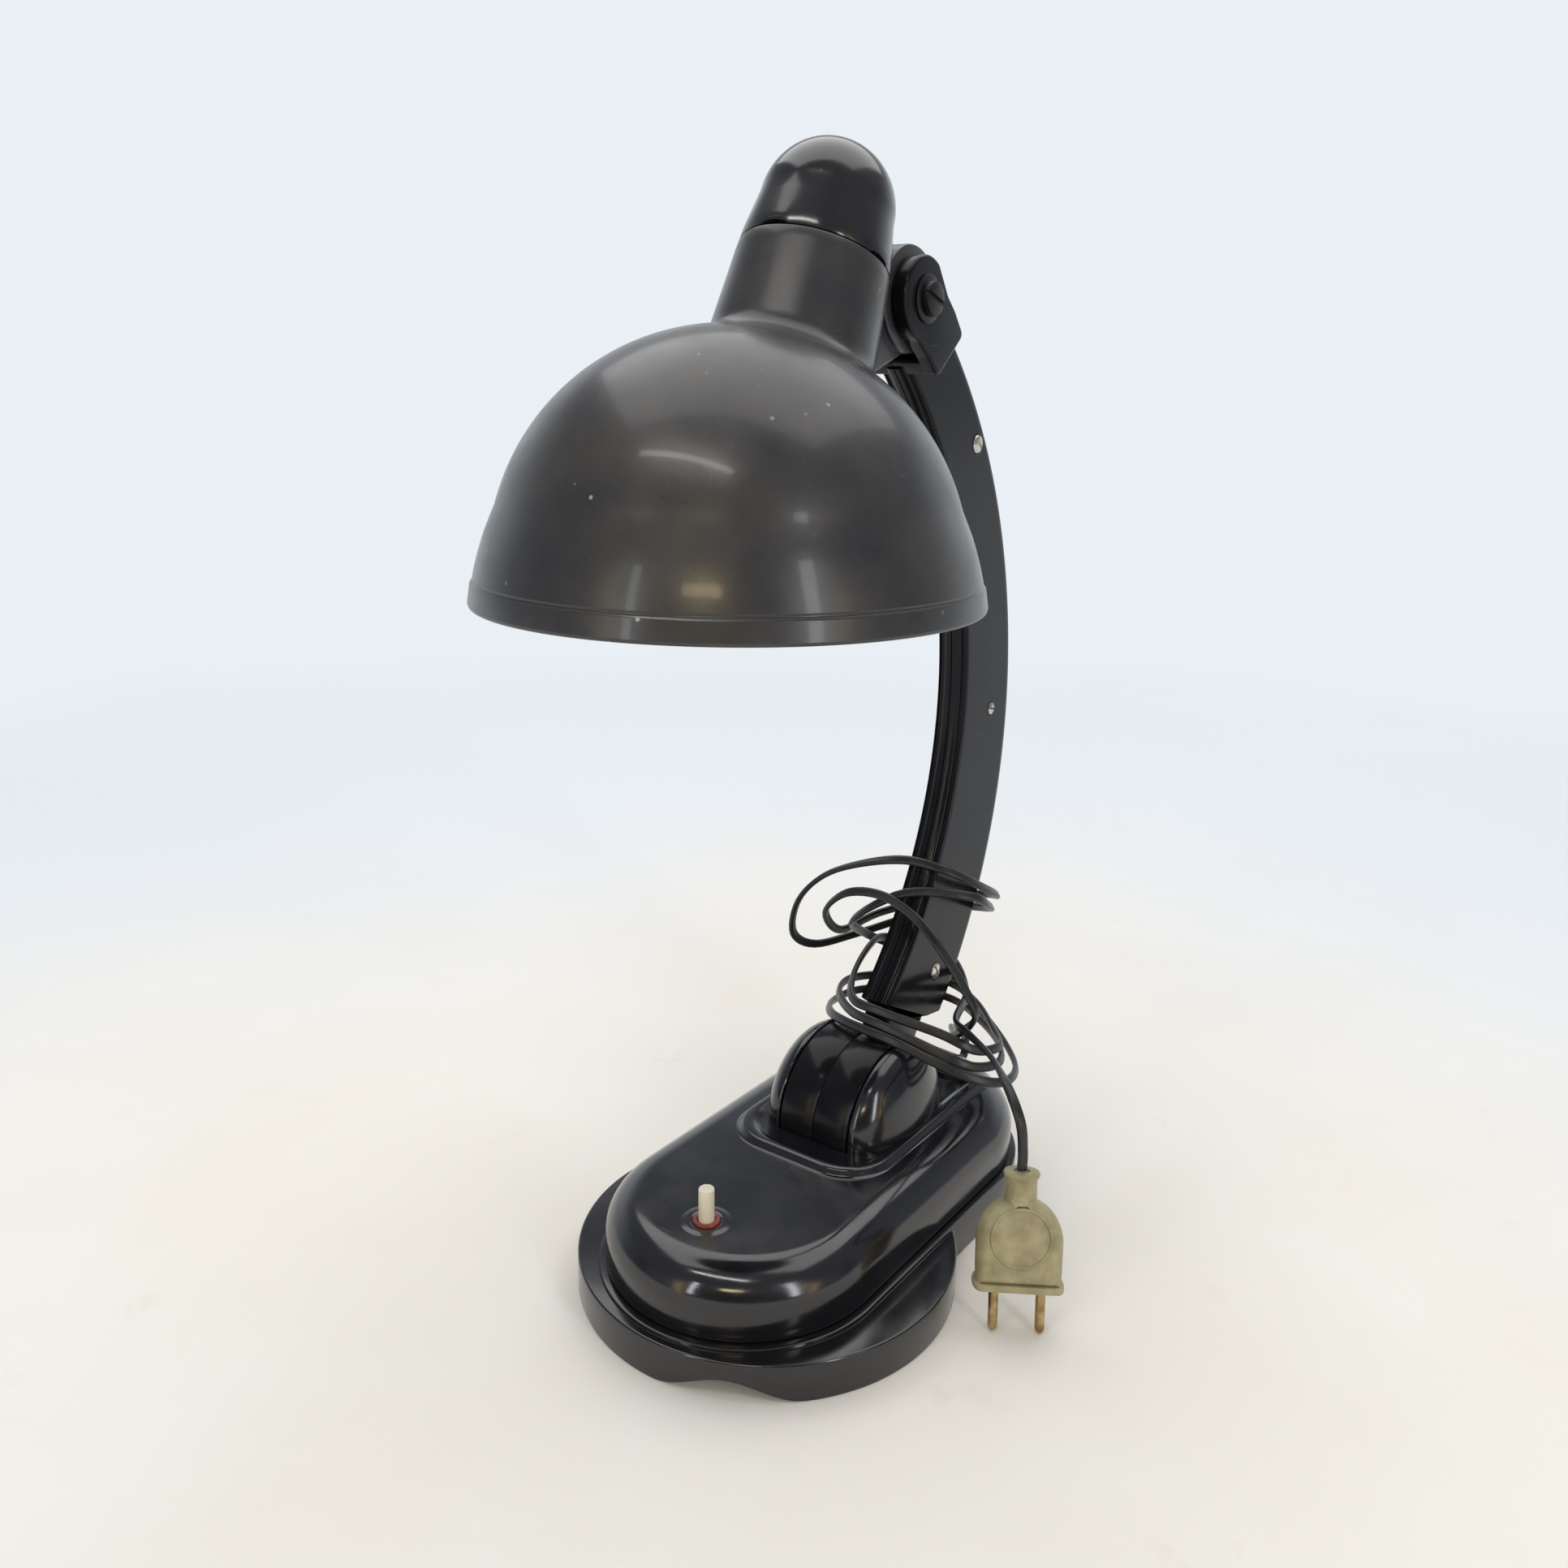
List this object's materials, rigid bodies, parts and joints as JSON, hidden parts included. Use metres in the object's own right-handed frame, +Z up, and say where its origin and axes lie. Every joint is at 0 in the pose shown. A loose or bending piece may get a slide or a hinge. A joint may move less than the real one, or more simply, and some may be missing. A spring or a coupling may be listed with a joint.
{
  "type": "desk lamp",
  "caption": "Moulded desk lamp with a curved two-part arm on a knuckle, a bell shade tilting in a fork, push switch and wrapped cord.",
  "frame": {"origin": "on the table, at the centre of the round foot", "axes": "+Z up, the lamp and its shade face -Y, the knuckle and head bolt lie along X"},
  "size_m": [0.214, 0.3038, 0.4531],
  "materials": {
    "base_moulding": "polished black phenolic, lightly worn",
    "arm_moulding": "polished black phenolic",
    "shade_moulding": "satin black-brown phenolic with fine scratches",
    "iron": "rough casting",
    "felt_cover": "felted sheet",
    "nickel": "dull nickel plate",
    "blackened_steel": "blackened steel",
    "brass": "aged brass",
    "insulator": "pale moulded insulator",
    "red_collar": "red-brown moulding",
    "ivory": "ivory moulding",
    "cord_black": "smooth flexible jacket",
    "plug_moulding": "aged olive-beige moulding"
  },
  "bodies": {
    "base": {"foot": "base_moulding", "housing": "base_moulding", "ballast": "iron", "cover": "felt_cover", "cover_screws": "nickel", "switch_body": "insulator", "switch_collar": "red_collar", "hinge_pin": "nickel", "hinge_washers": "nickel", "cord_gland": "cord_black", "lead_inside": "cord_black", "cord": "cord_black", "plug_body": "plug_moulding", "plug_pins": "brass"},
    "arm": {"arm_left": "arm_moulding", "arm_right": "arm_moulding", "arm_screws": "nickel", "arm_nuts": "nickel", "arm_cable": "cord_black", "head_bolt": "blackened_steel", "head_nut": "blackened_steel", "head_washer": "blackened_steel", "fork_discs": "insulator"},
    "head": {"shade": "shade_moulding", "cap": "shade_moulding", "bridge": "nickel", "bridge_screws": "nickel", "holder_shell": "insulator", "holder_insert": "brass", "holder_contact": "insulator", "holder_nipple": "brass", "nipple_nuts": "brass"},
    "button": {"switch_button": "ivory"}
  },
  "joints": [
    {"name": "arm_tilt", "type": "hinge", "parent": "base", "child": "arm", "pos_m": [0, 0.0675, 0.049], "axis": [1, 0, 0], "range_deg": [-15, 35], "deforming": ["cord"]},
    {"name": "shade_tilt", "type": "hinge", "parent": "arm", "child": "head", "pos_m": [0, 0.068, 0.401], "axis": [1, 0, 0], "range_deg": [-70, 18]},
    {"name": "switch_press", "type": "slide", "parent": "base", "child": "button", "axis": [0, 0, -1], "range_m": [0, 0.003], "stiffness_N_per_m": 400}
  ]
}
